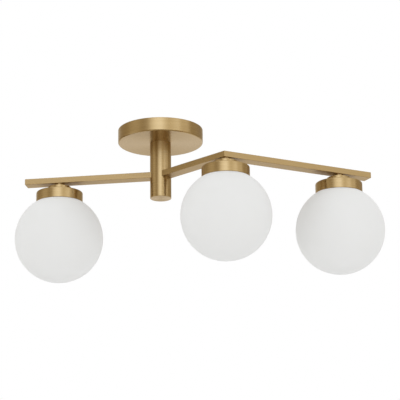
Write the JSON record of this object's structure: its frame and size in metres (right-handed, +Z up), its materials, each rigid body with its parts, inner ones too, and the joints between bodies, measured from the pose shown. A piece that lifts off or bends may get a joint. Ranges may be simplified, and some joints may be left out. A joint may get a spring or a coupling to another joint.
{
  "type": "semi flush ceiling light",
  "caption": "Round canopy and straight stem carry a zigzag of flat brass arms with opal glass globes hung below in short brass cups.",
  "frame": {"origin": "the stem's axis on the ceiling plane, midway between the ceiling bracket's two slots", "axes": "+Z up into the ceiling, -X along the left arm, -Y towards the middle globe"},
  "size_m": [0.5009, 0.222, 0.2065],
  "materials": {
    "satin_brass": "satin, brushed and lacquered",
    "zinc_steel": "zinc plated",
    "screw_brass": "turned",
    "tinned_copper": "tinned",
    "grommet_rubber": "matt",
    "gasket_silicone": "matt",
    "terminal_plastic": "semi gloss",
    "white_ceramic": "glazed",
    "lamp_frost": "frosted",
    "opal_glass": "etched matt opal",
    "lead_sleeve": "matt sleeve",
    "earth_insulation": "semi gloss"
  },
  "bodies": {
    "root": {"ceiling_bracket": "zinc_steel", "cable_grommet": "grommet_rubber", "terminal_block": "terminal_plastic", "terminal_clamp_screws": "screw_brass", "terminal_block_screws": "zinc_steel", "earth_screw": "screw_brass", "earth_tag": "tinned_copper", "earth_lead": "earth_insulation", "canopy": "satin_brass", "canopy_weld_nuts": "zinc_steel", "canopy_grub_screws": "screw_brass", "stem_nipple": "zinc_steel", "stem_washer": "zinc_steel", "stem_nut": "zinc_steel", "stem_bush": "screw_brass", "stem_tube": "satin_brass", "stem_end_cap": "satin_brass", "arm_left": "satin_brass", "arm_inner": "satin_brass", "arm_outer": "satin_brass", "arm_end_plug_left": "satin_brass", "arm_end_plug_right": "satin_brass", "arm_bushes": "screw_brass", "lamp_nipples": "zinc_steel", "arm_spacers": "satin_brass", "lamp_washers": "zinc_steel", "lamp_nuts": "zinc_steel", "holder_screws": "zinc_steel", "boss_left": "satin_brass", "cup_left": "satin_brass", "gasket_left": "gasket_silicone", "holder_strap_left": "zinc_steel", "lampholder_left": "white_ceramic", "lamp_leads_left": "lead_sleeve", "boss_middle": "satin_brass", "cup_middle": "satin_brass", "gasket_middle": "gasket_silicone", "holder_strap_middle": "zinc_steel", "lampholder_middle": "white_ceramic", "lamp_leads_middle": "lead_sleeve", "boss_right": "satin_brass", "cup_right": "satin_brass", "gasket_right": "gasket_silicone", "holder_strap_right": "zinc_steel", "lampholder_right": "white_ceramic", "lamp_leads_right": "lead_sleeve"},
    "globe_left": {"globe_left": "opal_glass"},
    "lamp_left": {"lamp_left": "lamp_frost"},
    "globe_middle": {"globe_middle": "opal_glass"},
    "lamp_middle": {"lamp_middle": "lamp_frost"},
    "globe_right": {"globe_right": "opal_glass"},
    "lamp_right": {"lamp_right": "lamp_frost"}
  },
  "joints": [
    {"name": "globe_left_drop", "type": "slide", "parent": "root", "child": "globe_left", "axis": [0, 0, -1], "range_m": [0, 0.075]},
    {"name": "lamp_left_pull", "type": "slide", "parent": "root", "child": "lamp_left", "axis": [0, 0, -1], "range_m": [0, 0.015]},
    {"name": "globe_middle_drop", "type": "slide", "parent": "root", "child": "globe_middle", "axis": [0, 0, -1], "range_m": [0, 0.075]},
    {"name": "lamp_middle_pull", "type": "slide", "parent": "root", "child": "lamp_middle", "axis": [0, 0, -1], "range_m": [0, 0.015]},
    {"name": "globe_right_drop", "type": "slide", "parent": "root", "child": "globe_right", "axis": [0, 0, -1], "range_m": [0, 0.075]},
    {"name": "lamp_right_pull", "type": "slide", "parent": "root", "child": "lamp_right", "axis": [0, 0, -1], "range_m": [0, 0.015]}
  ]
}
